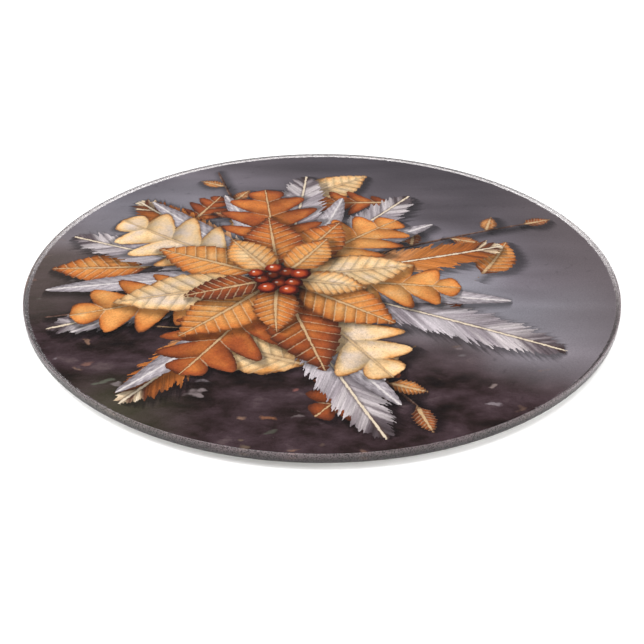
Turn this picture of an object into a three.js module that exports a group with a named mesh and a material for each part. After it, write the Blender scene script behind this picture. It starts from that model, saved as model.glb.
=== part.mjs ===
// Round glass cutting board: a disc of toughened glass with a ground edge, a reverse print and a
// white cover film bonded under it, and four rubber feet on adhesive discs.
//
// Millimetres, +Z up. The origin is on the surface that the feet stand on, under the middle of the
// board. The pieces are stacked along Z and touch each other plane to plane.

import * as THREE from 'three';

// ---- driving dimensions ------------------------------------------------------------------------

const GLASS_DIAMETER = 300;        // the common 30 cm (12 inch) round board
const GLASS_THICKNESS = 4.4;       // nominal 4 mm rolled glass, over the peaks of its pebbled face
const ARRIS_RADIUS = 0.6;          // both sharp edges ground round before toughening

const PRINT_INSET = 2.2;           // clear glass left outside the print
const PRINT_THICKNESS = 0.2;       // printed film and its clear adhesive
const BACKING_INSET = 2.2;         // the white film is trimmed in one cut with the print
const BACKING_THICKNESS = 0.2;     // opaque white cover film

const FOOT_COUNT = 4;
const FOOT_CIRCLE_RADIUS = 112;    // feet's distance from the middle of the board
const FOOT_FIRST_ANGLE = 45;       // degrees from +X
const FOOT_TOP_RADIUS = 6.35;      // 12.7 mm moulded bumper
const FOOT_BASE_RADIUS = 4.6;      // flat that stands on the table
const FOOT_HEIGHT = 3.1;
const FOOT_LIP_HEIGHT = 0.5;       // straight rim at the wide end
const FOOT_TOE_RADIUS = 0.7;       // rounding between the cone and the flat
const PAD_RADIUS = 5.8;            // adhesive disc, a little smaller than the foot
const PAD_THICKNESS = 0.3;

const DISC_SEGMENTS = 144;
const FOOT_SEGMENTS = 36;
const ARC_STEPS = 3;               // facets in each rounded edge

// ---- levels, from the table up -----------------------------------------------------------------

const padLevel = FOOT_HEIGHT;
const backingLevel = padLevel + PAD_THICKNESS;
const printLevel = backingLevel + BACKING_THICKNESS;
const glassLevel = printLevel + PRINT_THICKNESS;

// ---- materials ---------------------------------------------------------------------------------

const clearGlass = new THREE.MeshStandardMaterial({
  color: 0xc9d8d2, roughness: 0.12, metalness: 0, transparent: true, opacity: 0.35,
});
const printedFilm = new THREE.MeshStandardMaterial({ color: 0x6f5a55, roughness: 0.4, metalness: 0 });
const whiteFilm = new THREE.MeshStandardMaterial({ color: 0xe6e5e1, roughness: 0.6, metalness: 0 });
const rubber = new THREE.MeshStandardMaterial({ color: 0x2b2b2c, roughness: 0.8, metalness: 0 });
const foamAdhesive = new THREE.MeshStandardMaterial({ color: 0xd9d9d4, roughness: 0.7, metalness: 0 });

// ---- profiles and solids -----------------------------------------------------------------------

/** Points of an arc about a centre, from one angle to another in degrees, both ends included. */
function arc(centreX, centreY, radius, fromDegrees, toDegrees, steps) {
  const points = [];
  for (let i = 0; i <= steps; i += 1) {
    const angle = THREE.MathUtils.degToRad(
      THREE.MathUtils.lerp(fromDegrees, toDegrees, i / steps),
    );
    points.push(new THREE.Vector2(
      centreX + radius * Math.cos(angle),
      centreY + radius * Math.sin(angle),
    ));
  }
  return points;
}

/** Turns a profile, drawn from the bottom up as (radius, height), into a solid about +Z. */
function turned(profile, segments) {
  const geometry = new THREE.LatheGeometry(profile, segments);
  geometry.rotateX(Math.PI / 2);   // a lathe turns about Y
  return geometry;
}

/** A disc with square edges, standing on height 0. */
function plainDisc(radius, thickness, segments) {
  return turned([
    new THREE.Vector2(0, 0),
    new THREE.Vector2(radius, 0),
    new THREE.Vector2(radius, thickness),
    new THREE.Vector2(0, thickness),
  ], segments);
}

/** The glass: flat faces, an upright ground edge and a rounded arris above and below it. */
function glassDisc() {
  const centre = GLASS_DIAMETER / 2 - ARRIS_RADIUS;
  return turned([
    new THREE.Vector2(0, 0),
    ...arc(centre, ARRIS_RADIUS, ARRIS_RADIUS, -90, 0, ARC_STEPS),
    ...arc(centre, GLASS_THICKNESS - ARRIS_RADIUS, ARRIS_RADIUS, 0, 90, ARC_STEPS),
    new THREE.Vector2(0, GLASS_THICKNESS),
  ], DISC_SEGMENTS);
}

/** A moulded bumper: a flat toe, a rounded corner, a cone and a short straight lip. */
function bumper() {
  const coneHeight = FOOT_HEIGHT - FOOT_LIP_HEIGHT;
  const coneWidth = FOOT_TOP_RADIUS - FOOT_BASE_RADIUS;
  const coneAngle = THREE.MathUtils.radToDeg(Math.atan2(coneHeight, coneWidth));
  const toe = FOOT_TOE_RADIUS;
  const reach = toe * Math.tan(THREE.MathUtils.degToRad(coneAngle / 2));
  return turned([
    new THREE.Vector2(0, 0),
    ...arc(FOOT_BASE_RADIUS - reach, toe, toe, -90, coneAngle - 90, ARC_STEPS),
    new THREE.Vector2(FOOT_TOP_RADIUS, coneHeight),
    new THREE.Vector2(FOOT_TOP_RADIUS, FOOT_HEIGHT),
    new THREE.Vector2(0, FOOT_HEIGHT),
  ], FOOT_SEGMENTS);
}

// ---- assembly ----------------------------------------------------------------------------------

const board = new THREE.Group();

function addPiece(name, geometry, material, x, y, z) {
  const mesh = new THREE.Mesh(geometry, material);
  mesh.name = name;
  mesh.position.set(x, y, z);
  board.add(mesh);
}

addPiece('glass_disc', glassDisc(), clearGlass, 0, 0, glassLevel);

const printRadius = GLASS_DIAMETER / 2 - PRINT_INSET;
addPiece('print_film', plainDisc(printRadius, PRINT_THICKNESS, DISC_SEGMENTS), printedFilm,
  0, 0, printLevel);

const backingRadius = GLASS_DIAMETER / 2 - BACKING_INSET;
addPiece('backing_film', plainDisc(backingRadius, BACKING_THICKNESS, DISC_SEGMENTS), whiteFilm,
  0, 0, backingLevel);

for (let i = 0; i < FOOT_COUNT; i += 1) {
  const angle = THREE.MathUtils.degToRad(FOOT_FIRST_ANGLE + (360 / FOOT_COUNT) * i);
  const x = FOOT_CIRCLE_RADIUS * Math.cos(angle);
  const y = FOOT_CIRCLE_RADIUS * Math.sin(angle);
  addPiece(`foot_${i + 1}`, bumper(), rubber, x, y, 0);
  addPiece(`foot_pad_${i + 1}`, plainDisc(PAD_RADIUS, PAD_THICKNESS, FOOT_SEGMENTS),
    foamAdhesive, x, y, padLevel);
}

export default board;
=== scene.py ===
# %% [markdown]
# # A round glass cutting board
#
# The board is a disc of toughened glass, 300 mm across. Its top is pebbled so that food doesn't
# slide, its rim is ground, a picture is printed in reverse on a film under the glass, a white
# film covers the back of the print, and four rubber feet lift it off the worktop.
#
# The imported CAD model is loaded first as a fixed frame: it says where each piece is and how
# large. Everything below only adds the finish. Lengths are in metres, as Blender has them.

import math
import random

import bpy
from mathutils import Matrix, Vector


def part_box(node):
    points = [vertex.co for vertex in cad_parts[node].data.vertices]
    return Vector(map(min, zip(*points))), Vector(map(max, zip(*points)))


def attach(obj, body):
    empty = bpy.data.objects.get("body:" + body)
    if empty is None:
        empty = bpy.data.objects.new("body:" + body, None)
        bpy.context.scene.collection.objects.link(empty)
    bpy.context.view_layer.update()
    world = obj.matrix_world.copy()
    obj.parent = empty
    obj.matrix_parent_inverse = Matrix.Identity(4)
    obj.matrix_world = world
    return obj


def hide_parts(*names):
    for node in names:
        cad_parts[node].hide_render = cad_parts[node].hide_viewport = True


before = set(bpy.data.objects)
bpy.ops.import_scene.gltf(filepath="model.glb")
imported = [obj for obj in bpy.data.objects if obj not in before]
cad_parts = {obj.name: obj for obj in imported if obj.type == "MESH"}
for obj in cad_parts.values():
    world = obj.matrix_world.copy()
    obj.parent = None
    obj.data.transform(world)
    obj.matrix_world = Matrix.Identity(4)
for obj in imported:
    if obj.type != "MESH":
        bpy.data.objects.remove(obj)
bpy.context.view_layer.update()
MM = 0.001
print("CAD nodes:", ", ".join(sorted(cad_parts)))


# %% [markdown]
# ## Helpers for colours and nodes
#
# Colours are written as sRGB hex, the way a paint chart gives them, and the renderer wants
# linear light, so one function turns the one into the other by the standard's own curve.
#
# Materials and shapes are trees of nodes. They could be wired by hand in the editor, but in
# code every size can be worked out. One function says which tree is worked on, and one adds a
# node of any kind to it. That one takes inputs in order, others by a name with a capital, the
# settings by a name without one, and the stops of a colour ramp. A kind in capitals is the
# operation of a Math node or, after VECTOR, of a Vector Math node.

# %% Colour helper
def colour(hex_code):
    """A linear RGBA colour from an sRGB hex code such as "c98b4f"."""
    channels = [int(hex_code[i:i + 2], 16) / 255 for i in (0, 2, 4)]
    linear = [c / 12.92 if c <= 0.04045 else ((c + 0.055) / 1.055) ** 2.4 for c in channels]
    return (*linear, 1.0)


print("orange in linear light:", [round(c, 3) for c in colour("c98b4f")])


# %% Node helper
MIX = "ShaderNodeMix"
NOISE = "ShaderNodeTexNoise"
RANGE = "ShaderNodeMapRange"
RAMP = "ShaderNodeValToRGB"
PARTS = "ShaderNodeSeparateXYZ"
JOIN = "ShaderNodeCombineXYZ"
GROUP = "ShaderNodeGroup"
PAINT = {"data_type": "RGBA", "out": 2}  # a Mix node of colours instead of numbers
SKIP = (None,) * 5  # its inputs between the factor and the two colours
SMOOTH = {"interpolation_type": "SMOOTHSTEP", "clamp": False}
FLAT = (1, 1, 0)  # a factor that drops the height of a point


def work_on(tree):
    """Says which tree the next nodes go into."""
    add.tree = tree
    return tree


def add(kind, *values, out=0, stops=(), **named):
    """Adds a node, fills or links its inputs, and gives back one of its output sockets."""
    if kind.isupper():
        *vector, named["operation"] = kind.split()
        kind = "ShaderNodeVectorMath" if vector else "ShaderNodeMath"
    node = add.tree.nodes.new(kind)
    inputs = dict(enumerate(values))
    for name, value in named.items():
        if name[0].isupper():
            inputs[name.replace("_", " ")] = value
        else:
            setattr(node, name, value)
    for key, value in inputs.items():
        if isinstance(value, bpy.types.NodeSocket):
            add.tree.links.new(value, node.inputs[key])
        elif value is not None:
            node.inputs[key].default_value = value
    for place, _ in stops[1:-1]:
        node.color_ramp.elements.new(place)
    for i, (place, hex_code) in enumerate(stops):
        node.color_ramp.elements[i].position = place
        node.color_ramp.elements[i].color = colour(hex_code)
    return node.outputs[out]


print("nodes are added in Blender", bpy.app.version_string)


# %% [markdown]
# ## Camera
#
# The view is that of a catalogue picture: a 50 mm lens, close to the board and a little above
# it, so that the near rim is clearly larger than the far one. The distance is counted in board
# radii from the middle of the glass.

# %% Camera
def corners(box):
    """The lowest and the highest corner of a box."""
    return Vector(box[0]), Vector(box[1])


def new_object(name, data):
    """Puts a mesh, a lamp or a camera into the scene."""
    thing = bpy.data.objects.new(name, data)
    bpy.context.scene.collection.objects.link(thing)
    return thing


glass_low, glass_high = corners(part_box("glass_disc"))
glass_middle = (glass_low + glass_high) / 2
glass_radius = (glass_high.x - glass_low.x) / 2

LENS = 50
SENSOR_WIDTH = 36
NEAREST_SEEN = 0.01
CAMERA_DISTANCE = 3.117 * glass_radius
CAMERA_ELEVATION = math.radians(29.12)
CAMERA_PITCH = math.radians(32.63)

camera_data = bpy.data.cameras.new("camera")
camera_data.lens = LENS
camera_data.sensor_width = SENSOR_WIDTH
camera_data.clip_start = NEAREST_SEEN
camera = new_object("camera", camera_data)
camera.location = glass_middle + CAMERA_DISTANCE * Vector(
    (0, -math.cos(CAMERA_ELEVATION), math.sin(CAMERA_ELEVATION))
)
camera.rotation_euler = (math.pi / 2 - CAMERA_PITCH, 0, 0)
bpy.context.scene.camera = camera
print("camera at", [round(c, 3) for c in camera.location])


# %% [markdown]
# ## Studio
#
# A round white floor and four big soft lamps, far enough away to light it evenly to its end.
# Glass mirrors whatever stands opposite the eye, so nothing bright stands low behind the board
# or straight above it: that keeps the print deep and clear. The high lamp behind only makes the
# far rim shine. What the camera itself sees past the floor's end is a wall as white as the floor.
#
# Light that crosses glass to reach the print would need many samples. The glass lets shadow
# rays straight through instead (see its material), and the slower paths are switched off so
# that no light is counted twice.

# %% Floor
def new_material(name, constants):
    """A material with a Principled shader, whose constant values are set on its own sockets."""
    material = bpy.data.materials.new(name)
    material.use_nodes = True
    shader = material.node_tree.nodes["Principled BSDF"]
    for label, value in constants.items():
        shader.inputs[label].default_value = value
    return material, work_on(material.node_tree), shader


FULL_TURN = 2 * math.pi
FLOOR_RADIUS = 2.9
FLOOR_CORNERS = 96
turns = [FULL_TURN * i / FLOOR_CORNERS for i in range(FLOOR_CORNERS)]
floor_mesh = bpy.data.meshes.new("floor")
floor_mesh.from_pydata(
    [(FLOOR_RADIUS * math.cos(turn), FLOOR_RADIUS * math.sin(turn), 0) for turn in turns],
    [],
    [range(FLOOR_CORNERS)],
)
floor = new_object("floor", floor_mesh)
# Matt paint scatters light evenly: the eye gets a soft white without a highlight.
floor_paint, _, _ = new_material(
    "matt_white_floor_paint",
    {"Base Color": colour("f6f6f5"), "Roughness": 0.9, "Specular IOR Level": 0.1},
)
floor_mesh.materials.append(floor_paint)
print("floor:", 2 * FLOOR_RADIUS, "m across")


# %% Lamps
LAMPS = [  # name, place, width in metres, power in watts
    ("left_soft_box", (-3.4, 1.1, 3.2), 2.8, 142),
    ("right_soft_box", (3.3, -0.4, 2.8), 2.4, 104),
    ("front_soft_box", (-0.7, -3.6, 3.6), 2.6, 95),
    ("high_soft_box", (-0.6, 1.7, 4.7), 1.6, 125),
]
for name, place, width, power in LAMPS:
    lamp_data = bpy.data.lights.new(name, "AREA")
    lamp_data.shape = "SQUARE"
    lamp_data.size = width
    lamp_data.energy = power
    lamp = new_object(name, lamp_data)
    lamp.location = place
    lamp.rotation_euler = (glass_middle - Vector(place)).to_track_quat("-Z", "Y").to_euler()
    print(name, "is", round((lamp.location - glass_middle).length, 2), "m from the board")


# %% Room
ROOM_LIGHT = 0.16
WALL_LIGHT = 1.0
world = bpy.data.worlds.new("studio_room")
world.use_nodes = True
room = work_on(world.node_tree)
room.nodes.clear()
seen_by_camera = add("ShaderNodeLightPath", out="Is Camera Ray")
dim_room = add("ShaderNodeBackground", colour("f6f4f5"), ROOM_LIGHT)
pale_wall = add("ShaderNodeBackground", colour("ffffff"), WALL_LIGHT)
room_light = add("ShaderNodeMixShader", seen_by_camera, dim_room, pale_wall)
room_output = room.nodes.new("ShaderNodeOutputWorld")
room.links.new(room_light, room_output.inputs["Surface"])

scene = bpy.context.scene
scene.world = world
scene.view_settings.view_transform = "Standard"
scene.cycles.caustics_refractive = False
scene.cycles.caustics_reflective = False
print("room:", len(room.nodes), "nodes, view transform", scene.view_settings.view_transform)


# %% [markdown]
# ## A lathe for round pieces
#
# The glass, the films, the adhesive discs and the feet are all round. They could be made from
# Blender's cylinders, but then every arc would need tools of its own. One Geometry Nodes tree
# turns each of them from its profile instead, like a lathe: a grid is rolled up around Z, each
# column of the grid is one copy of the profile, and the points on the axis are merged. The same
# tree can then set copies on a circle, which places the four feet.
#
# The profile is a chain of points (radius, height) in the piece's own mesh. The tree ends in
# Realize Instances and Set Material, and a second material is given to the rim.

# %% What the lathe is given
def new_tree(name, kind, inputs, outputs):
    """Starts a node tree with named sockets, and gives back its input sockets by name."""
    tree = work_on(bpy.data.node_groups.new(name, kind))
    for in_out, sockets in (("INPUT", inputs), ("OUTPUT", outputs)):
        for label, value in sockets.items():
            tree.interface.new_socket(label, in_out=in_out, socket_type="NodeSocket" + value)
    entry = tree.nodes.new("NodeGroupInput")
    return {label: entry.outputs[label] for label in inputs}


def close_tree(**results):
    """Links the tree's results to its output node, and gives back the finished tree."""
    exit_node = add.tree.nodes.new("NodeGroupOutput")
    for label, socket in results.items():
        add.tree.links.new(socket, exit_node.inputs[label])
    return add.tree


given = new_tree(
    "turned_piece",
    "GeometryNodeTree",
    {
        "Profile": "Geometry", "Profile points": "Int", "Segments": "Int", "Copies": "Int",
        "Circle radius": "Float", "First angle": "Float", "Rim starts": "Float",
        "Lower rim starts": "Float", "Lower rim height": "Float", "Map half width": "Float",
        "Face material": "Material", "Rim material": "Material",
    },
    {"Piece": "Geometry"},
)
print("the lathe is given:", ", ".join(given))


# %% Roll the profile up
SAME_POINT = 0.2e-6  # points closer than this, in metres, are merged

columns = add("ADD", given["Segments"], 1.0)
grid = add("GeometryNodeMeshGrid", Vertices_X=columns, Vertices_Y=given["Profile points"])
index = add("GeometryNodeInputIndex")
column = add("DIVIDE", index, given["Profile points"])
column = add("FLOOR", column)
row = add("MODULO", index, given["Profile points"])
turn = add("DIVIDE", column, given["Segments"])
turn = add("MULTIPLY", turn, FULL_TURN)
place = add("GeometryNodeInputPosition")
on_profile = add(
    "GeometryNodeSampleIndex", out="Value", data_type="FLOAT_VECTOR", clamp=True,
    Geometry=given["Profile"], Value=place, Index=row,
)
turned = add("ShaderNodeVectorRotate", on_profile, Angle=turn, rotation_type="Z_AXIS")
rolled = add("GeometryNodeSetPosition", grid, Position=turned)
closed = add("GeometryNodeMergeByDistance", rolled, Distance=SAME_POINT)
print("the roll takes", len(add.tree.nodes), "nodes")


# %% Set copies on a circle
step = add("DIVIDE", index, given["Copies"])
step = add("MULTIPLY_ADD", step, FULL_TURN, given["First angle"])
spoke = add(JOIN, given["Circle radius"])
stand = add("ShaderNodeVectorRotate", spoke, Angle=step, rotation_type="Z_AXIS")
ring = add("GeometryNodePoints", given["Copies"], stand)
copies = add("GeometryNodeInstanceOnPoints", ring, Instance=closed)
solid = add("GeometryNodeRealizeInstances", copies)
print("with the circle it has", len(add.tree.nodes))


# %% Map, smooth and face the piece
SHARP_BEND = math.radians(40)

across = add("VECTOR MULTIPLY", place, FLAT)
distance = add("VECTOR LENGTH", across, out="Value")
height = add(PARTS, place, out="Z")
is_low = add("LESS_THAN", height, given["Lower rim height"])
rim_starts = add(MIX, is_low, None, given["Rim starts"], given["Lower rim starts"])
on_rim = add("GREATER_THAN", distance, rim_starts)
map_scale = add("DIVIDE", 0.5, given["Map half width"])
flat_map = add("VECTOR SCALE", across, Scale=map_scale)
flat_map = add("VECTOR ADD", flat_map, (0.5, 0.5, 0))
mapped = add(
    "GeometryNodeStoreNamedAttribute", solid, data_type="FLOAT2", domain="CORNER",
    Name="OFBake", Value=flat_map,
)
smooth = add("GeometryNodeSetShadeSmooth", mapped)
bend = add("GeometryNodeInputMeshEdgeAngle")
sharp = add("GREATER_THAN", bend, SHARP_BEND)
creased = add("GeometryNodeSetShadeSmooth", smooth, sharp, False, domain="EDGE")
faced = add("GeometryNodeSetMaterial", creased, Material=given["Face material"])
rimmed = add("GeometryNodeSetMaterial", faced, Selection=on_rim, Material=given["Rim material"])
lathe = close_tree(Piece=rimmed)
print("the whole lathe:", len(lathe.nodes), "nodes")


# %% Turn a profile into a piece
LATHE_DEFAULTS = {
    "Segments": 288, "Copies": 1, "Circle radius": 0.0, "First angle": 0.0, "Rim starts": 1.0,
    "Lower rim starts": 1.0, "Lower rim height": 0.0,
}


def turned_piece(name, profile, material, rim_material=None, **changes):
    """Runs the lathe on a profile of (radius, height) points and keeps the result as a mesh."""
    chain = bpy.data.meshes.new(name + "_profile")
    spots = [(radius, 0, height) for radius, height in profile]
    chain.from_pydata(spots, [(i, i + 1) for i in range(len(spots) - 1)], [])
    blank = new_object(name + "_blank", chain)
    modifier = blank.modifiers.new("turn", "NODES")
    modifier.node_group = lathe
    settings = {
        **LATHE_DEFAULTS,
        "Profile points": len(profile),
        "Map half width": max(radius for radius, _ in profile),
        "Face material": material,
        "Rim material": rim_material or material,
        **{label.replace("_", " "): value for label, value in changes.items()},
    }
    for item in lathe.interface.items_tree:
        if item.in_out == "INPUT" and item.name in settings:
            modifier[item.identifier] = settings[item.name]
    graph = bpy.context.evaluated_depsgraph_get()
    mesh = bpy.data.meshes.new_from_object(blank.evaluated_get(graph))
    bpy.data.objects.remove(blank)
    mesh.name = name
    mesh.materials.pop(index=0)
    if settings["Copies"] > 1:
        mesh.uv_layers.remove(mesh.uv_layers["OFBake"])
    print(name, "has", len(mesh.polygons), "faces and", len(mesh.materials), "materials")
    return new_object(name, mesh)


def corner_arc(centre, radius, start, end, steps):
    """Points on an arc from one angle to another, in degrees, both ends included."""
    angles = [math.radians(start + (end - start) * i / steps) for i in range(steps + 1)]
    return [(centre[0] + radius * math.cos(a), centre[1] + radius * math.sin(a)) for a in angles]


def plain_disc(radius, low, high):
    """The profile of a flat disc with sharp edges."""
    return [(0, low), (radius, low), (radius, high), (0, high)]


print("a plain disc's profile:", plain_disc(1, 0, 1))


# %% [markdown]
# ## Glass
#
# Toughened soda-lime glass. The faces are fire-polished, and the top one carries a shallow
# pebble pattern pressed in by a roller. To the eye the pebbles bend the print a little, so that
# it looks soft, and they break up the shine of the lamps. The rim is ground with a diamond
# wheel, which leaves it satin: light that gets into it is scattered, so it looks frosted, with
# dark specks where the wheel's slurry has stayed.
#
# Both finishes are the same clear glass with another roughness and another bump, so one function
# makes them. Real pebbles are about 1.8 mm across and are drawn at that size. Diamond grit is a
# tenth of a millimetre, too fine to show at this distance, so the rim's specks are drawn six
# times as coarse.

# %% Glass materials
def grained_material(name, constants, tones, tone_range, tone_noise, relief_height, relief_noise):
    """Varies between two tones in patches, and bumps the surface with a second noise."""
    material, tree, shader = new_material(name, constants)
    place = add("ShaderNodeTexCoord", out="Object")
    patches = add(NOISE, place, **tone_noise)
    patches = add(RANGE, patches, **tone_range)
    first, second = (colour(hex_code) for hex_code in tones)
    tone = add(MIX, patches, *SKIP, first, second, **PAINT)
    relief = add(NOISE, place, **relief_noise)
    bump = add("ShaderNodeBump", Strength=1.0, Distance=relief_height, Height=relief)
    tree.links.new(tone, shader.inputs["Base Color"])
    tree.links.new(bump, shader.inputs["Normal"])
    return material, tree, shader


GLASS = {"IOR": 1.52, "Transmission Weight": 1.0}
SHADOW_TINT = (0.95, 0.94, 0.945, 1)  # what is left of the light that gets through


def glass_material(name, roughness, tones, speck_size, relief_height, **relief_noise):
    """Clear glass with a bumped surface and tinted specks, which lets shadow rays through."""
    material, tree, shader = grained_material(
        name, {**GLASS, "Roughness": roughness}, tones, {"From_Min": 0.36, "From_Max": 0.56},
        {"Scale": 1 / speck_size, "Detail": 2.0, "Roughness": 0.6}, relief_height, relief_noise,
    )
    for_shadows = add("ShaderNodeLightPath", out="Is Shadow Ray")
    passing = add("ShaderNodeBsdfTransparent", SHADOW_TINT)
    surface = add("ShaderNodeMixShader", for_shadows, shader.outputs[0], passing)
    tree.links.new(surface, tree.nodes["Material Output"].inputs["Surface"])
    return material


pebbled_glass = glass_material(
    "toughened_glass_pebbled", 0.07, ("f6f4f5", "fdfcfc"), 1.2 * MM,
    relief_height=0.25 * MM, Scale=1 / (1.8 * MM), Detail=1.0, Roughness=0.4,
)
ground_glass = glass_material(
    "toughened_glass_ground_rim", 0.36, ("5a5254", "f2e8ea"), 0.6 * MM,
    relief_height=0.30 * MM, Scale=1 / (1.5 * MM), Detail=3.0, Roughness=0.4,
)
print("glass:", pebbled_glass.name, "and", ground_glass.name)


# %% [markdown]
# ### Painted shade, tint and frost on the rim
#
# The ground rim isn't the same all over. Its colour is painted darker towards the foot of the
# wall as shade, half as dark on the far side. On the side that faces the viewer the matt margin
# and the lower edge are made opaque, so they show this painted shade, and the specks have a pink
# tint painted in, for the print seen in the wall. The far side keeps its sparkle. The top of the
# wall, where the wheel bites hardest, is frosted: a little of it is white and opaque.
#
# Each could be a painted mask, but all of them follow from the height on the wall and from how
# near the spot is to the viewer, so they are worked out from those two.

# %% Painted tint and painted shade
FOOT_SHADE_HEIGHT = 4.0 * MM
FOOT_SHADE_SOLID = 0.1  # up to this share of its height the painted shade is at its darkest
FAR_FOOT_SHADE = 0.5  # how dark the painted shade is on the far side, as a share
# the colour of the painted shade at the foot of the wall
FOOT_SHADE_COLOUR = "1e1416"
# a pink tint painted on the near side, for the print's colour seen in the wall
NEAR_PRINT_TINT = (1.0, 0.91, 0.92)
NEAR_SIDE = (-62 * MM, 75 * MM)  # from front to back, where the near side ends
NEAR_SIDE_TURN = 0.12  # it reaches a little farther back on the left

rim_tree = work_on(ground_glass.node_tree)
rim_shader = rim_tree.nodes["Principled BSDF"]
place = add("ShaderNodeTexCoord", out="Object")
rightwards, away, height = add(PARTS, place).node.outputs
height = add("SUBTRACT", height, glass_low.z)
away = add("MULTIPLY_ADD", rightwards, NEAR_SIDE_TURN, away)
near_side = add(RANGE, away, *NEAR_SIDE, 1.0, 0.0, **SMOOTH)
shade_strength = add(RANGE, near_side, 0.0, 1.0, FAR_FOOT_SHADE, 1.0)
# painted shade: the colour darkens towards the foot of the wall, less on the far side
foot_shade = add(RANGE, height, FOOT_SHADE_SOLID * FOOT_SHADE_HEIGHT, FOOT_SHADE_HEIGHT, shade_strength, 0.0, **SMOOTH)
specks = rim_shader.inputs["Base Color"].links[0].from_socket
# painted reflection: the near side's specks take a little of the print's pink
near_tinted = add("VECTOR MULTIPLY", specks, NEAR_PRINT_TINT)
near_tinted = add(MIX, near_side, *SKIP, specks, near_tinted, **PAINT)
# the painted shade goes over the specks
foot_shaded = add(MIX, foot_shade, *SKIP, near_tinted, colour(FOOT_SHADE_COLOUR), **PAINT)
rim_tree.links.new(foot_shaded, rim_shader.inputs["Base Color"])
print("grime reaches", FOOT_SHADE_HEIGHT / MM, "mm up the wall")


# %% Painted shade on the near side, and frost
NEAR_SHADE_FROM = -1.6 * MM  # on the way outwards and up from the foot of the wall
NEAR_SHADE_TO = 1.0 * MM
# how opaque the painted shade makes the near side at most
NEAR_SHADE_OPACITY = 0.95
FROST_FROM = 2.0 * MM
FROST_FULL = 4.2 * MM
FROST = 0.13

outwards = add("VECTOR MULTIPLY", place, FLAT)
outwards = add("VECTOR LENGTH", outwards, out="Value")
outwards = add("SUBTRACT", outwards, glass_radius)
path = add("ADD", outwards, height)
# painted shade: on the near side the margin and the foot of the wall turn opaque and show the dark
# painted colour instead of the floor
near_painted_shade = add(RANGE, path, NEAR_SHADE_FROM, NEAR_SHADE_TO, NEAR_SHADE_OPACITY, 0.0, **SMOOTH)
near_painted_shade = add("MULTIPLY", near_painted_shade, near_side)
frost = add(RANGE, height, FROST_FROM, FROST_FULL, 0.0, FROST, **SMOOTH)
opaque = add("ADD", near_painted_shade, frost)
clear = add("SUBTRACT", 1.0, opaque)
rim_tree.links.new(clear, rim_shader.inputs["Transmission Weight"])
print("rim:", len(rim_tree.nodes), "nodes")


# %% Glass disc
ARRIS = 0.6 * MM
ARRIS_STEPS = 8
MATT_MARGIN = 2.4 * MM
CLEAR_OF_CORNER = 0.3 * MM
corner_radius = glass_radius - ARRIS
matt_from = glass_radius - MATT_MARGIN
rim_low = (corner_radius, glass_low.z + ARRIS)
rim_high = (corner_radius, glass_high.z - ARRIS)
glass_profile = [
    (0.0, glass_low.z),
    (glass_radius / 2, glass_low.z),
    (matt_from, glass_low.z),
    *corner_arc(rim_low, ARRIS, -90, 0, ARRIS_STEPS),
    *corner_arc(rim_high, ARRIS, 0, 90, ARRIS_STEPS),
    (corner_radius - CLEAR_OF_CORNER, glass_high.z),
    (glass_radius / 2, glass_high.z),
    (0.0, glass_high.z),
]
glass = turned_piece(
    "glass", glass_profile, pebbled_glass, ground_glass, Segments=480, Rim_starts=corner_radius,
    Lower_rim_starts=matt_from, Lower_rim_height=glass_middle.z,
)
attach(glass, "root")
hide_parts("glass_disc")


# %% [markdown]
# ## The picture under the glass
#
# The print is a generic autumn posy: feathers, oak and beech leaves, slender silvery leaves and
# a few berries on twigs, over ground that is out of focus. It could be an image, but a picture
# worked out from a few rules stays sharp at any size and needs no file, so it is drawn by nodes.
#
# Each motif is laid over the ones before it by a small node group. The group doesn't paint: it
# only notes, for the point on the board, which motif is on top and where on it the point lies
# (how far along, how far across, how far from the outline), and how much shade the motifs above
# throw. Painting comes once, after the last motif. Eighty motifs then cost little more than one.
#
# The notes are single numbers, and no node in the chain turns one kind of value into another
# or clamps it: the renderer then works through the whole chain in one go, in little memory.
#
# Lengths in the print's trees are millimetres, so the scale of a pattern is the number of its
# patches in 100 mm, divided by 100.

# %% Helpers that lay a motif
NOTES = ["Along", "Across", "Edge", "Tag", "Long", "Shade"]
LAY_INPUTS = [
    "X", "Y", "Base X", "Base Y", "Cosine", "Sine", "Length", "Half width", "Bend", "Kind",
    "Seed", "Shadow shift",
]
SHADOW_SHIFT = (2.4, -3.0)  # where a motif's shade falls, in millimetres
SHADOW_BLUR = 6.0
SHADOW_DEPTH = 0.62


def laying_tree(name):
    """Starts a tree that lays a motif, with the point's place along and across the motif."""
    labels = dict.fromkeys(LAY_INPUTS + NOTES, "Float")
    given = new_tree(name, "ShaderNodeTree", labels, dict.fromkeys(NOTES, "Float"))
    right = add("SUBTRACT", given["X"], given["Base X"])
    up = add("SUBTRACT", given["Y"], given["Base Y"])
    along = add("MULTIPLY", up, given["Sine"])
    along = add("MULTIPLY_ADD", right, given["Cosine"], along)
    across = add("MULTIPLY", right, given["Sine"])
    up = add("MULTIPLY", up, given["Cosine"])
    across = add("SUBTRACT", up, across)
    return given, along, across


def lay_over(given, along, across, inside, shadow_gap):
    """Notes a motif where its outline holds the point, and shades what lies under it."""
    top = add("GREATER_THAN", inside, 0.0)
    tag = add("ADD", given["Kind"], given["Seed"])
    dim = add(RANGE, shadow_gap, -SHADOW_BLUR, 1.0, 1.0, 1.0 - SHADOW_DEPTH, **SMOOTH)
    shaded = {**given, "Shade": add("MULTIPLY", given["Shade"], dim)}
    news = dict(zip(NOTES, (along, across, inside, tag, given["Length"], 1.0)))
    notes = {note: add(MIX, top, None, shaded[note], news[note]) for note in NOTES}
    return close_tree(**notes)


print("a motif notes:", ", ".join(NOTES))


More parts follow.
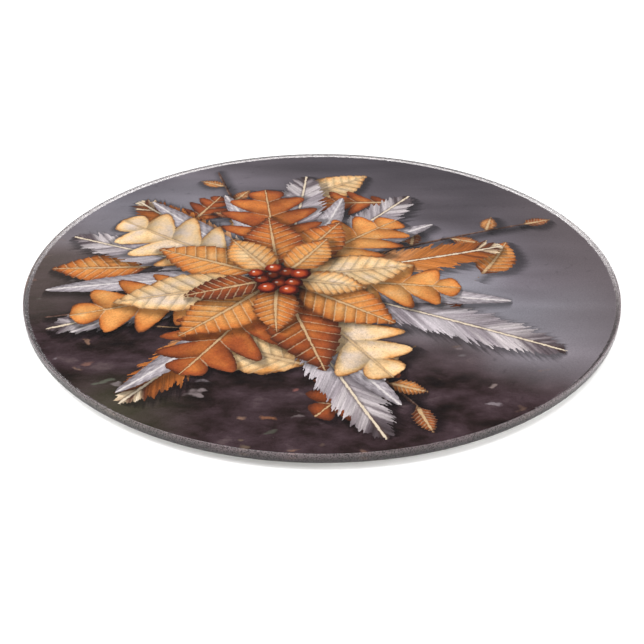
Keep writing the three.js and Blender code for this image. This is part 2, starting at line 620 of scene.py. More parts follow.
# %% Outlines
STALK = 0.2  # a leaf's stalk, as a share of its blade
BARB_LEAN = 1.35  # how far a barb runs on for each mm away from the shaft
SIDES_APART = 77.0  # these two keep one edge's pattern unlike another's
FEATHERS_APART = 900.0
PARTED = 0.62  # barbs part where the noise is below this


def outline_width(share, outline):
    """How wide a motif is at a share of its length, by a curve through the outline's points."""
    where = add("ADD", share, STALK)
    where = add("DIVIDE", where, 1 + STALK)
    width = add("ShaderNodeFloatCurve", Value=where)
    mapping = width.node.mapping
    mapping.use_clip = False
    mapping.extend = "HORIZONTAL"
    points = mapping.curves[0].points
    for x, y in outline[1:-1]:
        points.new(x, y)
    points[0].location = outline[0]
    points[-1].location = outline[-1]
    for point in points:
        point.handle_type = "AUTO_CLAMPED"
    mapping.update()
    return width


def notched(width, count, depth, lobes):
    """Cuts notches into an outline: round ones between lobes, or those of saw teeth."""
    if lobes:
        wave = add("MULTIPLY", count, math.pi)
        wave = add("SINE", wave)
        wave = add("ABSOLUTE", wave)
        cut = add("MULTIPLY_ADD", wave, depth, 1 - depth)
        return add("MULTIPLY", width, cut)
    tooth = add("FRACT", count)
    return add("MULTIPLY_ADD", tooth, -depth, width)


def ragged(edge, along, across, off_rib, seed, depth):
    """Parts the barbs at an edge, some 4 mm apart, along lines that lean as the barbs do."""
    side = add("SIGN", across)
    barb = add("MULTIPLY_ADD", off_rib, -BARB_LEAN, along)
    barb = add("MULTIPLY_ADD", side, SIDES_APART, barb)
    barb = add("MULTIPLY_ADD", seed, FEATHERS_APART, barb)
    parting = add(NOISE, noise_dimensions="1D", W=barb, Scale=24 / 100, Detail=3.0, Roughness=0.6)
    parting = add("SUBTRACT", parting, PARTED)
    return add("MULTIPLY_ADD", parting, depth, edge)


print("a stalk takes", round(STALK / (1 + STALK), 2), "of a leaf's whole length")


# %% A group that lays one leaf, feather or twig
VEIN_SLANT = 0.62


def count_veins(share, off_rib, length, veins):
    """A count along a leaf, slanted from the midrib. The veins are at its whole numbers."""
    lean = add("DIVIDE", off_rib, length)
    count = add("MULTIPLY_ADD", lean, -VEIN_SLANT, share)
    return add("MULTIPLY", count, veins)


def leaf_laying_tree(name, outline, notches=0, depth=0.0, lobes=False, rags=0.0):
    """Lays a shape whose half width along its length is the outline curve.

    Its edge can have notches, as teeth or deep lobes, and it can be ragged, like barbs that part.
    """
    given, along, across = laying_tree(name)
    share = add("DIVIDE", along, given["Length"])
    droop = add("MULTIPLY", share, share)
    across = add("MULTIPLY_ADD", droop, given["Bend"], across)
    off_rib = add("ABSOLUTE", across)
    width = outline_width(share, outline)
    edge = add("MULTIPLY", width, given["Half width"])
    if notches:
        count = count_veins(share, off_rib, given["Length"], float(notches))
        edge = notched(edge, count, depth, lobes)
    if rags:
        edge = ragged(edge, along, across, off_rib, given["Seed"], rags)
    inside = add("SUBTRACT", edge, off_rib)
    moved = add("SUBTRACT", across, given["Shadow shift"])
    moved = add("ABSOLUTE", moved)
    shadow_gap = add("SUBTRACT", edge, moved)
    return lay_over(given, along, across, inside, shadow_gap)


BEECH_VEINS = 10
OAK_LOBES = 5

lay_beech = leaf_laying_tree(
    "lay_beech_leaf",
    [(0, -1.6), (0.012, 0.04), (0.165, 0.035), (0.2, 0.14), (0.31, 0.66), (0.45, 0.96), (0.56, 1),
     (0.74, 0.76), (0.89, 0.31), (0.965, 0.06), (1, -1.6)],
    notches=BEECH_VEINS, depth=1.3,
)
lay_oak = leaf_laying_tree(
    "lay_oak_leaf",
    [(0, -0.5), (0.012, 0.03), (0.165, 0.03), (0.23, 0.27), (0.44, 0.74), (0.64, 1), (0.82, 0.84),
     (0.93, 0.48), (0.985, 0.12), (1, -0.5)],
    notches=OAK_LOBES, depth=0.62, lobes=True,
)
lay_feather = leaf_laying_tree(
    "lay_feather",
    [(0, -0.8), (0.012, 0.045), (0.15, 0.04), (0.19, 0.5), (0.27, 0.88), (0.5, 1), (0.74, 0.95),
     (0.88, 0.76), (0.96, 0.45), (0.99, 0.1), (1, -0.8)],
    rags=13.0,
)
lay_slender = leaf_laying_tree(
    "lay_slender_leaf",
    [(0, -1.5), (0.012, 0.1), (0.165, 0.1), (0.25, 0.55), (0.4, 0.93), (0.54, 1), (0.72, 0.84),
     (0.88, 0.5), (0.96, 0.24), (0.99, 0.05), (1, -1.5)],
)
lay_twig = leaf_laying_tree("lay_twig", [(0, -6), (0.008, 1), (0.5, 0.72), (0.97, 0.4), (1, -6)])
print("an oak leaf is laid by", len(lay_oak.nodes), "nodes")


# %% A group that lays one berry
BERRY_SHADE = 0.6  # a berry stands lower, so its shade falls less far


def reach(along, across):
    """The distance of a place along and across from the middle."""
    square = add("MULTIPLY", across, across)
    square = add("MULTIPLY_ADD", along, along, square)
    return add("SQRT", square)


given, along, across = laying_tree("lay_berry")
inside = add("SUBTRACT", given["Length"], reach(along, across))
moved_along = add("SUBTRACT", along, BERRY_SHADE * SHADOW_SHIFT[0])
moved_across = add("SUBTRACT", across, BERRY_SHADE * SHADOW_SHIFT[1])
moved = reach(moved_along, moved_across)
shadow_gap = add("SUBTRACT", given["Length"], moved)
lay_berry = lay_over(given, along, across, inside, shadow_gap)
print("a berry is laid by", len(lay_berry.nodes), "nodes")


# %% [markdown]
# ### Paint for leaves
#
# A dried leaf stands up like quilting between its side veins, pales along the midrib and is
# scorched at its edge. Each vein could be drawn as a line, but a count that runs slantwise from
# the midrib gives all of them at once: they are at its whole numbers. Ink takes the place of
# relief here: one slope of each quilt is printed lighter than the other.
#
# Blotches are some 13 mm across. Real flecks are a few tenths of a millimetre, too fine to show
# under pebbled glass, so they are drawn a little over 1 mm across.

# %% Leaves: veins
def paint_tree(name, **more):
    """Starts a tree that paints a motif, and tells how far along, across and inside a spot is."""
    told = {"Spot": "Vector", "Length": "Float", "Seed": "Float", **more}
    given = new_tree(name, "ShaderNodeTree", told, {"Colour": "Color"})
    return given, *add(PARTS, given["Spot"]).node.outputs


given, along, across, edge = paint_tree("leaf_paint", Veins="Float")
share = add("DIVIDE", along, given["Length"])
off_rib = add("ABSOLUTE", across)
side = add("SIGN", across)
count = count_veins(share, off_rib, given["Length"], given["Veins"])
pillow = add("PINGPONG", count, 0.5)
pitch = add("DIVIDE", given["Length"], given["Veins"])
off_vein = add("MULTIPLY", pillow, pitch)
slope = add("FRACT", count)
slope = add("SUBTRACT", slope, 0.5)
slope = add("MULTIPLY", slope, side)
print("each vein runs on by", VEIN_SLANT, "mm for each mm from the midrib")


# %% Leaves: tone and light
LEAF_TONES = [
    (0.0, "6a3420"), (0.2, "9c4f28"), (0.4, "c9793a"), (0.6, "dd9c58"), (0.8, "e9c795"),
    (1.0, "cfc3bd"),
]
LEAVES_APART = 31.0  # keeps one leaf's blotches unlike another's

grow = add("MULTIPLY", given["Seed"], LEAVES_APART)
shift = add(JOIN, grow, grow, grow)
where = add("VECTOR MULTIPLY_ADD", given["Spot"], FLAT, shift)
blotch = add(NOISE, where, Scale=7.5 / 100, Detail=3.0)
fine = add(NOISE, where, Scale=80 / 100, Detail=2.0, Roughness=0.65)

tone = add("SUBTRACT", blotch, 0.5)
tone = add("MULTIPLY_ADD", tone, 0.55, given["Seed"])
from_edge = add(RANGE, edge, 0.0, 9.0, -0.13, 0.06, **SMOOTH)
tone = add("ADD", tone, from_edge)
base = add(RAMP, tone, stops=LEAF_TONES)

light = add(RANGE, pillow, 0.0, 0.5, 0.80, 1.10, **SMOOTH)
light = add("MULTIPLY_ADD", slope, 0.42, light)
light = add("MULTIPLY_ADD", side, 0.09, light)
grain = add(RANGE, fine, 0.3, 0.7, 0.84, 1.14)
light = add("MULTIPLY", light, grain)
near_tip = add(RANGE, share, 0.0, 1.0, 0.88, 1.1)
light = add("MULTIPLY", light, near_tip)
lit = add("VECTOR SCALE", base, Scale=light)
print("leaf tones:", len(LEAF_TONES))


# %% Leaves: ribs, scorched edge and flecks
vein = add(RANGE, off_vein, 0.12, 0.55, 0.42, 0.0, **SMOOTH)
rib_width = add(RANGE, share, 0.0, 1.0, 1.15, 0.3)
off_middle = add("DIVIDE", off_rib, rib_width)
rib_side = add(RANGE, off_middle, 1.0, 3.2, 0.45, 0.0, **SMOOTH)
rib = add(RANGE, off_middle, 0.6, 1.1, 0.8, 0.0, **SMOOTH)
scorch = add("MULTIPLY_ADD", blotch, 5.0, edge)
scorch = add(RANGE, scorch, 2.2, 5.0, 0.75, 0.0, **SMOOTH)
flecks = add(RANGE, fine, 0.66, 0.72, 0.0, 0.55)
leaf_coats = [
    (vein, "e3c9a2"), (rib_side, "5c3a28"), (rib, "d9b98c"), (scorch, "4c2a1c"),
    (flecks, "3a211a"),
]
for cover, coat in leaf_coats:
    lit = add(MIX, cover, *SKIP, lit, colour(coat), **PAINT)
leaf_paint = close_tree(Colour=lit)
print("leaf paint:", len(leaf_paint.nodes), "nodes")


# %% [markdown]
# ### Paint for feathers
#
# A feather's vane is hundreds of fine barbs that lean out from a pale shaft and hold on to each
# other. Each could be a curve of its own, but a noise stretched along the barbs gives the same
# threads with one node. Real barbs are less than half a millimetre apart, too fine to show, so
# they are drawn about 1 mm apart. Locks of barbs some 6 mm wide bend the bands of colour.

# %% Feather paint
WARM_FEATHER = [
    (0.0, "b9aeb0"), (0.14, "d9cbbd"), (0.3, "e0a878"), (0.52, "c47a3c"), (0.78, "a85f2c"),
    (0.88, "5b3122"), (0.95, "e0c8a6"), (1.0, "e8d9c0"),
]
GREY_FEATHER = [
    (0.0, "d8d0d2"), (0.25, "b4abb0"), (0.4, "8a8086"), (0.5, "c8c0c4"), (0.66, "978d93"),
    (0.78, "d3cacb"), (0.9, "6a5f64"), (1.0, "3c3234"),
]
THREAD_STRETCH = 0.07
VANES_APART = 40.0

given, along, across, edge = paint_tree("feather_paint")
off_shaft = add("ABSOLUTE", across)
side = add("SIGN", across)
barb = add("MULTIPLY_ADD", off_shaft, -BARB_LEAN, along)
row = add("MULTIPLY_ADD", side, VANES_APART, given["Seed"])
thread = add("MULTIPLY", off_shaft, THREAD_STRETCH)
where = add(JOIN, barb, thread, row)
threads = add(NOISE, where, Scale=90 / 100, Detail=3.0, Roughness=0.7)
locks = add(NOISE, where, Scale=16 / 100, Detail=1.0)
share = add("MULTIPLY_ADD", off_shaft, -0.7, along)
share = add("DIVIDE", share, given["Length"])
wander = add("SUBTRACT", locks, 0.5)
share = add("MULTIPLY_ADD", wander, 0.32, share)
warm = add(RAMP, share, stops=WARM_FEATHER)
grey = add(RAMP, share, stops=GREY_FEATHER)
is_grey = add("GREATER_THAN", given["Seed"], 0.5)
base = add(MIX, is_grey, *SKIP, warm, grey, **PAINT)
light = add(RANGE, threads, 0.3, 0.7, 0.55, 1.35)
roll = add(RANGE, across, -14.0, 14.0, 1.16, 0.80)
light = add("MULTIPLY", light, roll)
lit = add("VECTOR SCALE", base, Scale=light)
parting = add(RANGE, locks, 0.30, 0.40, 0.55, 0.0, **SMOOTH)
at_edge = add(RANGE, edge, 1.0, 8.0, 1.0, 0.0)
parting = add("MULTIPLY", parting, at_edge)
shaft_side = add(RANGE, off_shaft, 0.6, 2.0, 0.6, 0.0, **SMOOTH)
shaft = add(RANGE, off_shaft, 0.4, 0.75, 1.0, 0.0, **SMOOTH)
for cover, coat in ((parting, "3b2c2b"), (shaft_side, "4e3830"), (shaft, "e6d6bd")):
    lit = add(MIX, cover, *SKIP, lit, colour(coat), **PAINT)
feather_paint = close_tree(Colour=lit)
print("feather paint:", len(feather_paint.nodes), "nodes")


# %% [markdown]
# ### Paint for slender leaves, twigs and berries
#
# The slender leaves are felted with fine white hairs, which make them silvery and dull. A twig's
# bark is dark at the sides and lit along the top, with cracks across it. A berry is glossy: it
# has a round shade and a small highlight. Hairs and cracks are finer in life than the 1 mm that
# they are drawn at, which is as fine as shows.

# %% Slender leaf paint
SILVER_TONES = [(0.15, "62595d"), (0.5, "978f94"), (0.75, "b5adb2"), (1.0, "d6cfd1")]
HAIR_STRETCH = (0.3, 1.0, 1.0)
VEIN_PITCH = 3.1

given, along, across, edge = paint_tree("slender_paint")
off_rib = add("ABSOLUTE", across)
hairs = add("VECTOR MULTIPLY", given["Spot"], HAIR_STRETCH)
felt = add(NOISE, hairs, Scale=90 / 100, Detail=3.0, Roughness=0.6)
phase = add("MULTIPLY_ADD", off_rib, -1.6, along)
off_vein = add("PINGPONG", phase, VEIN_PITCH)
pillow = add(RANGE, off_vein, 0.0, VEIN_PITCH, -0.09, 0.07, **SMOOTH)
tone = add(RANGE, edge, 0.0, 3.0, -0.1, 0.25)
tone = add("ADD", felt, tone)
tone = add("ADD", tone, pillow)
base = add(RAMP, tone, stops=SILVER_TONES)
side = add("SIGN", across)
half = add("MULTIPLY_ADD", side, 0.13, 0.96)
lit = add("VECTOR SCALE", base, Scale=half)
rib = add(RANGE, off_rib, 0.25, 0.8, 0.8, 0.0, **SMOOTH)
lit = add(MIX, rib, *SKIP, lit, colour("e9e2df"), **PAINT)
slender_paint = close_tree(Colour=lit)
print("slender leaf paint:", len(slender_paint.nodes), "nodes")


# %% Twig paint
BARK_TONES = [(0.25, "271a18"), (0.6, "5a4038"), (1.0, "a08474")]
BARK_STRETCH = (0.35, 1.6, 0)

given, along, across, edge = paint_tree("twig_paint")
stretched = add("VECTOR MULTIPLY", given["Spot"], BARK_STRETCH)
bark = add(NOISE, stretched, Scale=90 / 100, Detail=3.0)
top_light = add(RANGE, across, -1.6, 1.4, -0.25, 0.4)
tone = add("ADD", bark, top_light)
base = add(RAMP, tone, stops=BARK_TONES)
twig_paint = close_tree(Colour=base)
print("twig paint:", len(twig_paint.nodes), "nodes")


# %% Berry paint
BERRY_TONES = [(0.0, "3b120e"), (0.35, "8e2f1a"), (0.65, "c2562a"), (1.0, "e08a50")]
GLINT_OFF = (1.5, -1.5, 0)  # the highlight lies this far off the berry's middle

given, along, across, edge = paint_tree("berry_paint")
depth = add("DIVIDE", edge, given["Length"])
tilt = add("SUBTRACT", across, along)
tilt = add("DIVIDE", tilt, given["Length"])
tone = add(RANGE, depth, 0.0, 0.75, 0.0, 0.6, **SMOOTH)
tone = add("MULTIPLY_ADD", tilt, 0.22, tone)
base = add(RAMP, tone, stops=BERRY_TONES)
glint = add("VECTOR ADD", given["Spot"], GLINT_OFF)
glint = add("VECTOR MULTIPLY", glint, FLAT)
glint = add("VECTOR LENGTH", glint, out="Value")
glint = add(RANGE, glint, 0.3, 1.1, 0.9, 0.0, **SMOOTH)
lit = add(MIX, glint, *SKIP, base, colour("f6e6d8"), **PAINT)
berry_paint = close_tree(Colour=lit)
print("berry paint:", len(berry_paint.nodes), "nodes")


# %% [markdown]
# ### The ground behind the posy
#
# Woodland floor: cool and smooth far off, dark, earthy and sharper close by, with chips of bark
# and dead leaves. A lens would blur it by distance. Here the blur is drawn, by using only broad
# patches where it's far (70 and 45 mm) and finer ones where it's near (17 mm clods and chips of
# litter 8 mm apart).

# %% Far ground
DISTANCE_TONES = [
    (0.0, "3c2d33"), (0.18, "463639"), (0.3, "665a5c"), (0.42, "8c868d"), (0.56, "8d8b93"),
    (0.7, "777179"), (0.84, "5a545a"), (1.0, "4c474d"),
]
STREAK_STRETCH = (0.35, 1.5, 1)
LEVEL_WANDER = 110.0  # how far the levels wander up and down, in mm

given = new_tree("ground", "ShaderNodeTree", {"Point": "Vector"}, {"Colour": "Color"})
x, y, _ = add(PARTS, given["Point"]).node.outputs
broad = add(NOISE, given["Point"], Scale=1.4 / 100, Detail=2.0)
drawn_out = add("VECTOR MULTIPLY", given["Point"], STREAK_STRETCH)
streaks = add(NOISE, drawn_out, Scale=2.2 / 100, Detail=2.5)
height = add("MULTIPLY_ADD", x, 0.5, y)
wander = add("SUBTRACT", broad, 0.5)
height = add("MULTIPLY_ADD", wander, LEVEL_WANDER, height)
level = add(RANGE, height, -150.0, 150.0, 0.0, 1.0)
base = add(RAMP, level, stops=DISTANCE_TONES)
bright = add(RANGE, streaks, 0.3, 0.7, 0.78, 1.26, **SMOOTH)
base = add("VECTOR SCALE", base, Scale=bright)
warm_side = add(RANGE, x, 85.0, 150.0, 0.0, 0.85, **SMOOTH)
base = add(MIX, warm_side, *SKIP, base, colour("655c5f"), **PAINT)
print("far ground:", len(add.tree.nodes), "nodes")


# %% Near ground, litter and haze
SOIL_TONES = [
    (0.3, "0f090a"), (0.42, "261a19"), (0.5, "37282b"), (0.62, "47373c"), (0.78, "6c5c5c"),
]
LITTER_TONES = [
    (0.0, "8d5a3a"), (0.3, "a08878"), (0.5, "958c93"), (0.75, "5c6650"), (1.0, "9a5f5a"),
]
SOIL_SQUASH = (0.8, 1.25, 1)
LITTER_BEND = (14, 14, 0)
BLURRED_PATCHES = [  # centre, spread and colour of moss and haze
    ((-140, -10, 0), 62.0, "665c56"),
    ((-88, -130, 0), 46.0, "4a4937"),
    ((-118, 92, 0), 66.0, "57525a"),
]

near = add(RANGE, height, -88.0, -12.0, 1.0, 0.0, **SMOOTH)
flat = add("VECTOR MULTIPLY", given["Point"], SOIL_SQUASH)
clods = add(NOISE, flat, Scale=6 / 100, Detail=6.0, Roughness=0.58)
soil = add(RAMP, clods, stops=SOIL_TONES)
base = add(MIX, near, *SKIP, base, soil, **PAINT)
bent = add(NOISE, flat, Scale=12 / 100, Detail=1.0, out="Color")
bent = add("VECTOR MULTIPLY_ADD", bent, LITTER_BEND, flat)
chips = add("ShaderNodeTexVoronoi", bent, Scale=12 / 100, feature="F1")
chip = add(RANGE, chips, 0.12, 0.30, 0.7, 0.0, **SMOOTH)
chip = add("MULTIPLY", chip, near)
drawn = add("ShaderNodeSeparateColor", chips.node.outputs["Color"])
rare = add("GREATER_THAN", drawn, 0.55)
chip = add("MULTIPLY", chip, rare)
chip_tone = add(RAMP, drawn.node.outputs["Green"], stops=LITTER_TONES)
base = add(MIX, chip, *SKIP, base, chip_tone, **PAINT)
for centre, spread, shade in BLURRED_PATCHES:
    away = add("VECTOR DISTANCE", given["Point"], centre, out="Value")
    patch = add(RANGE, away, 8.0, spread, 1.1, 0.0, **SMOOTH)
    patch = add("MULTIPLY", patch, broad)
    base = add(MIX, patch, *SKIP, base, colour(shade), **PAINT)
ground = close_tree(Colour=base)
print("the whole ground:", len(ground.nodes), "nodes")


# %% [markdown]
# ### Arranging the posy
#
# The motifs radiate from one tie point. Each layer is a loop: so many of a kind, evenly spread
# with a little seeded chance in angle, length and colour, cut to end inside the print's edge.
# Loose leaves are strewn first, then come twigs, long feathers, slender leaves, oak, beech, and
# berries over the tie. Setting eighty motifs out by hand would give no better picture.

# %% Lay a motif on the ink
BEECH, OAK, FEATHER, SLENDER, TWIG, BERRY = 1.0, 2.0, 3.0, 4.0, 5.0, 6.0

ink, ink_tree, ink_shader = new_material(
    "reverse_printed_ink", {"Roughness": 0.8, "Specular IOR Level": 0.0},
)
point = add("ShaderNodeTexCoord", out="Object")
point = add("VECTOR SCALE", point, Scale=1 / MM)
point = add("VECTOR MULTIPLY", point, FLAT)
x, y, _ = add(PARTS, point).node.outputs
pile = {**dict.fromkeys(NOTES, 0.0), "Shade": 1.0}


def lay(group, kind, base, angle, length, half_width, bend=0.0, seed=0.5):
    """Lays one motif over the pile. Millimetres and degrees."""
    turn = math.radians(angle)
    shift = SHADOW_SHIFT[1] * math.cos(turn) - SHADOW_SHIFT[0] * math.sin(turn)
    values = (x, y, *base, math.cos(turn), math.sin(turn), length, half_width, bend, kind, seed)
    told = {**dict(zip(LAY_INPUTS, (*values, shift))), **pile}
    laid = add(GROUP, node_tree=group, **told)
    for note in NOTES:
        pile[note] = laid.node.outputs[note]


print("the pile starts with", pile)


# %% Helpers that arrange motifs
TIE = (-22.0, -12.0)
PRINT_MARGIN = 5.0
GOLDEN_ANGLE = 2.4  # each next one turned by this, in radians, none meet
OAK_SLIMNESS = 0.30  # half a leaf's width, as a share of its length
BEECH_SLIMNESS = 0.27
STRAY_KINDS = ((lay_oak, OAK, OAK_SLIMNESS), (lay_beech, BEECH, BEECH_SLIMNESS))
TWIG_LEAVES = [(52, 0.36), (-48, 0.48), (44, 0.60), (-8, 0.36)]  # lean in degrees, and seed
TWIG_LEAF_LENGTH = 19.0
TWIG_BARE = 0.5  # the share of a twig without leaves, and the share with them
TWIG_LEAFY = 0.47
LENGTHS = (0.84, 1.12)  # chance in a motif's length and width, as shares
WIDTHS = (0.92, 1.08)
STRAY_LENGTHS = (0.8, 1.2)
STRAY_BEND = 5.0
STRAY_START = 0.6  # radians
STRAY_REACH = 0.6  # a stray's base stays within this share of the print's radius

print_low, print_high = corners(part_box("print_film"))
print_radius = (print_high.x - print_low.x) / 2
chance = random.Random(11)


def moved(start, away, turn):
    """The place so far away from a start in one direction."""
    return (start[0] + away * math.cos(turn), start[1] + away * math.sin(turn))


def room_for(base, angle):
    """How far the print reaches from a point in one direction, less the margin."""
    reach = print_radius / MM - PRINT_MARGIN
    turn = math.radians(angle)
    ahead = base[0] * math.cos(turn) + base[1] * math.sin(turn)
    return -ahead + math.sqrt(ahead ** 2 + reach ** 2 - base[0] ** 2 - base[1] ** 2)


def fan(group, kind, count, start, length, half_width, offset, seeds, bend=6.0, wobble=9.0):
    """Lays a ring of motifs that point outwards from the tie, and tells where each one lies."""
    laid = []
    for i in range(count):
        angle = start + 360 / count * i + chance.uniform(-wobble, wobble)
        base = moved(TIE, offset, math.radians(angle))
        long = min(length * chance.uniform(*LENGTHS), room_for(base, angle))
        seed = chance.uniform(*seeds[i % len(seeds)])
        wide = half_width * chance.uniform(*WIDTHS) * (0.5 + 0.5 * long / length)
        laid.append((base, angle, long, chance.uniform(-bend, bend)))
        lay(group, kind, base, angle, long, wide, laid[-1][3], seed)
    return laid


def leaf_up(base, angle, length, bend):
    """Sets small leaves on the outer half of a twig, by turns to its left and right."""
    turn = math.radians(angle)
    for i, (lean, seed) in enumerate(TWIG_LEAVES):
        share = TWIG_BARE + TWIG_LEAFY * i / (len(TWIG_LEAVES) - 1)
        along = share * length
        across = -bend * share ** 2
        joint = (
            base[0] + along * math.cos(turn) - across * math.sin(turn),
            base[1] + along * math.sin(turn) + across * math.cos(turn),
        )
        long = TWIG_LEAF_LENGTH
        if room_for(joint, angle + lean) > long:
            lay(lay_beech, BEECH, joint, angle + lean, long, BEECH_SLIMNESS * long, 0, seed)


def strew(count, nearest, farthest, length, seeds):
    """Strews oak and beech leaves around the tie, each turned its own way but off the edge."""
    for i in range(count):
        away = nearest + (farthest - nearest) * ((i + 0.5) / count) ** 0.5
        base = moved(TIE, away, GOLDEN_ANGLE * i + STRAY_START)
        inwards = min(1.0, STRAY_REACH * print_radius / MM / math.hypot(*base))
        base = (base[0] * inwards, base[1] * inwards)
        angle = chance.uniform(0, 360)
        long = min(length * chance.uniform(*STRAY_LENGTHS), room_for(base, angle))
        group, kind, slimness = STRAY_KINDS[i % 2]
        seed = chance.uniform(*seeds[i % len(seeds)])
        bend = chance.uniform(-STRAY_BEND, STRAY_BEND)
        lay(group, kind, base, angle, long, slimness * long, bend, seed)


print("from the tie the print reaches", round(room_for(TIE, 0)), "mm to the right")


# %% Arrange the motifs
RUST = (0.12, 0.3)  # ranges of seeds, which choose a motif's tone
ORANGE = (0.38, 0.56)
CREAM = (0.68, 0.82)
SILVER = (0.6, 0.9)
WARM = (0.1, 0.4)
BERRIES = 11
BERRY_PITCH = 4.2
BERRY_RADII = (4.2, 5.4)

strew(12, 60, 125, 52, [RUST, ORANGE, RUST, CREAM])
for twig in fan(lay_twig, TWIG, 4, 20, 138, 1.6, 4, [RUST], bend=14):
    leaf_up(*twig)
fan(lay_feather, FEATHER, 9, 8, 126, 15, 14, [WARM, SILVER, SILVER], bend=10)
fan(lay_slender, SLENDER, 10, 30, 104, 8.5, 12, [SILVER], bend=20)
fan(lay_oak, OAK, 7, 40, 92, 27, 14, [ORANGE, RUST, CREAM], bend=7)
fan(lay_beech, BEECH, 8, 12, 68, 17.5, 12, [CREAM, ORANGE, RUST, ORANGE], bend=6)
fan(lay_beech, BEECH, 5, 60, 42, 12, 7, [ORANGE, CREAM, RUST], bend=4)
for i in range(BERRIES):
    spot = moved(TIE, BERRY_PITCH * math.sqrt(i), GOLDEN_ANGLE * i)
    lay(lay_berry, BERRY, spot, 0, chance.uniform(*BERRY_RADII), 0, seed=chance.random())
print("print:", sum(n.type == "GROUP" for n in ink_tree.nodes), "motifs laid")


# %% [markdown]
# ### Painting the pile
#
# What the pile has noted is painted once. Ink jetted on film is flat and matt, with a grit of
# dots: real dots are a tenth of a millimetre, too fine to show, so the grit is drawn 0.6 mm
# across. Along the last 0.8 mm the ink is starved, which the eye sees as a pale, broken edge.

# %% Paint the pile and finish the ink
STARVED = 0.8  # the width of the starved edge, in millimetres

kind = add("FLOOR", pile["Tag"])
seed = add("FRACT", pile["Tag"])
spot = add(JOIN, pile["Along"], pile["Across"], pile["Edge"])
is_oak = add("COMPARE", kind, OAK, 0.5)
veins = add(MIX, is_oak, None, float(BEECH_VEINS), float(OAK_LOBES))
told = {"Spot": spot, "Length": pile["Long"], "Seed": seed}
picture = add(GROUP, node_tree=ground, Point=point)
leaf = add(GROUP, node_tree=leaf_paint, **told, Veins=veins)
paints = {BEECH: leaf, OAK: leaf}
for number, group in (
    (FEATHER, feather_paint), (SLENDER, slender_paint), (TWIG, twig_paint), (BERRY, berry_paint),
):
    paints[number] = add(GROUP, node_tree=group, **told)
for number, paint in paints.items():
    chosen = add("COMPARE", kind, number, 0.5)
    picture = add(MIX, chosen, *SKIP, picture, paint, **PAINT)
picture = add("VECTOR SCALE", picture, Scale=pile["Shade"])
grit = add(NOISE, point, Scale=160 / 100, Detail=1.0)
bright = add(RANGE, grit, 0.3, 0.7, 0.90, 1.10)
picture = add("VECTOR SCALE", picture, Scale=bright)
from_middle = add("VECTOR LENGTH", point, out="Value")
edge = print_radius / MM
starved = add(RANGE, from_middle, edge - STARVED, edge, 0.0, 0.36)
starved = add("ADD", grit, starved)
starved = add(RANGE, starved, 0.78, 0.86, 0.0, 1.0)
picture = add(MIX, starved, *SKIP, picture, colour("81787c"), **PAINT)
ink_tree.links.new(picture, ink_shader.inputs["Base Color"])
print("ink:", len(ink_tree.nodes), "nodes")


# %% Printed film
WETTED = 0.03 * MM  # the film clings to the glass, with no air between
print_piece = turned_piece(
    "printed_film", plain_disc(print_radius, print_low.z, print_high.z + WETTED), ink,
)
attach(print_piece, "root")
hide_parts("print_film")


# %% [markdown]
# ## White cover film
#
# A thin white vinyl covers the back of the print and is all that shows from below between the
# feet. Rolled on by hand, it has a faint orange-peel surface, which softens its shine, and a
# slightly uneven white. Feet and tape are opaque and grained too, so one function makes all three.

# %% White cover film
def opaque_material(name, roughness, tones, uneven_size, grain_size, grain_height):
    """An opaque material whose colour varies slowly and whose surface is finely grained."""
    return grained_material(
        name, {"Roughness": roughness}, tones, {"From_Min": 0.35, "From_Max": 0.65, **SMOOTH},
        {"Scale": 1 / uneven_size, "Detail": 3.0}, grain_height,
        {"Scale": 1 / grain_size, "Detail": 2.0},
    )[0]


white_film = opaque_material(
    "white_vinyl_film", roughness=0.42, tones=("e9e8e4", "dddbd5"),
    uneven_size=24 * MM, grain_size=1.4 * MM, grain_height=0.04 * MM,
)
film_low, film_high = corners(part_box("backing_film"))
film_radius = (film_high.x - film_low.x) / 2
cover_film = turned_piece(
    "cover_film", plain_disc(film_radius, film_low.z, film_high.z), white_film,
)
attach(cover_film, "root")
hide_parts("backing_film")


# %% [markdown]
# ## Feet
#
# Four moulded rubber bumpers, each stuck on with a disc of foam tape. The bumper tapers to a
# rounded toe, and its sole is dished so that it holds a wet worktop like a sucker. The rubber is
# matt black with the grey bloom that rubber gets with age. Its mould is spark-eroded: the real
# grain, 0.03 mm, is too fine to show, so it is drawn eight times as coarse and takes the edge
# off every highlight.

# %% Rubber feet
foot_boxes = [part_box(f"foot_{i}") for i in range(1, 5)]
foot_low, foot_high = corners(foot_boxes[0])
foot_middle = (foot_low + foot_high) / 2
foot_circle = {
    "Copies": len(foot_boxes),
    "Circle radius": math.hypot(foot_middle.x, foot_middle.y),
    "First angle": math.atan2(foot_middle.y, foot_middle.x),
    "Segments": 64,
}

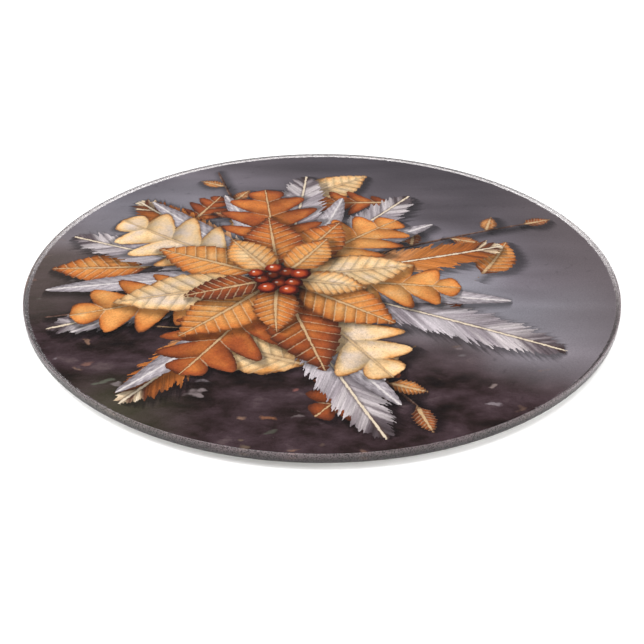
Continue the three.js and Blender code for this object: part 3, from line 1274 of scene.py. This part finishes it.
LIP_HEIGHT = 0.5 * MM
LIP_ROUND = 0.2 * MM
TOE_RADIUS = 0.7 * MM
SOLE_RADIUS = 3.9 * MM
SOLE_FLAT = 0.4 * MM
DISH_RADIUS = 3.2 * MM
DISH_DEPTH = 0.25 * MM
DISH = [(0, 1), (0.6, 0.92), (0.9, 0.5), (1, 0.1)]  # shares of its radius and depth
lip_middle = (foot_high.x - foot_low.x) / 2 - LIP_ROUND
foot_profile = [
    *((out * DISH_RADIUS, foot_low.z + up * DISH_DEPTH) for out, up in DISH),
    (SOLE_RADIUS - SOLE_FLAT, foot_low.z),
    *corner_arc((SOLE_RADIUS, foot_low.z + TOE_RADIUS), TOE_RADIUS, -90, -12, 6),
    *corner_arc((lip_middle, foot_high.z - LIP_HEIGHT), LIP_ROUND, -50, 0, 3),
    *corner_arc((lip_middle, foot_high.z - LIP_ROUND), LIP_ROUND, 0, 90, 3),
    (0, foot_high.z),
]
rubber = opaque_material(
    "moulded_rubber", roughness=0.66, tones=("232324", "343435"),
    uneven_size=3.0 * MM, grain_size=0.25 * MM, grain_height=0.03 * MM,
)
feet = turned_piece("feet", foot_profile, rubber, **foot_circle)
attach(feet, "root")
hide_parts(*(f"foot_{i}" for i in range(1, 5)))


# %% [markdown]
# ## Foam discs
#
# Acrylic foam tape is white and a little translucent at its cut edge, and its cells give it a
# dull, sandy look. Under the weight of the board it bulges a little between glass and bumper.

# %% Foam discs
PAD_BULGE = 0.08 * MM
pad_boxes = [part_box(f"foot_pad_{i}") for i in range(1, 5)]
pad_low, pad_high = corners(pad_boxes[0])
pad_radius = (pad_high.x - pad_low.x) / 2
pad_profile = [
    (0, pad_low.z),
    (pad_radius - PAD_BULGE, pad_low.z),
    (pad_radius, (pad_low.z + pad_high.z) / 2),
    (pad_radius - PAD_BULGE, pad_high.z),
    (0, pad_high.z),
]
foam = opaque_material(
    "acrylic_foam_tape", roughness=0.8, tones=("dbdad5", "cbcac4"),
    uneven_size=1.2 * MM, grain_size=0.12 * MM, grain_height=0.05 * MM,
)
foam_discs = turned_piece("foam_discs", pad_profile, foam, **foot_circle)
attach(foam_discs, "root")
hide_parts(*(f"foot_pad_{i}" for i in range(1, 5)))
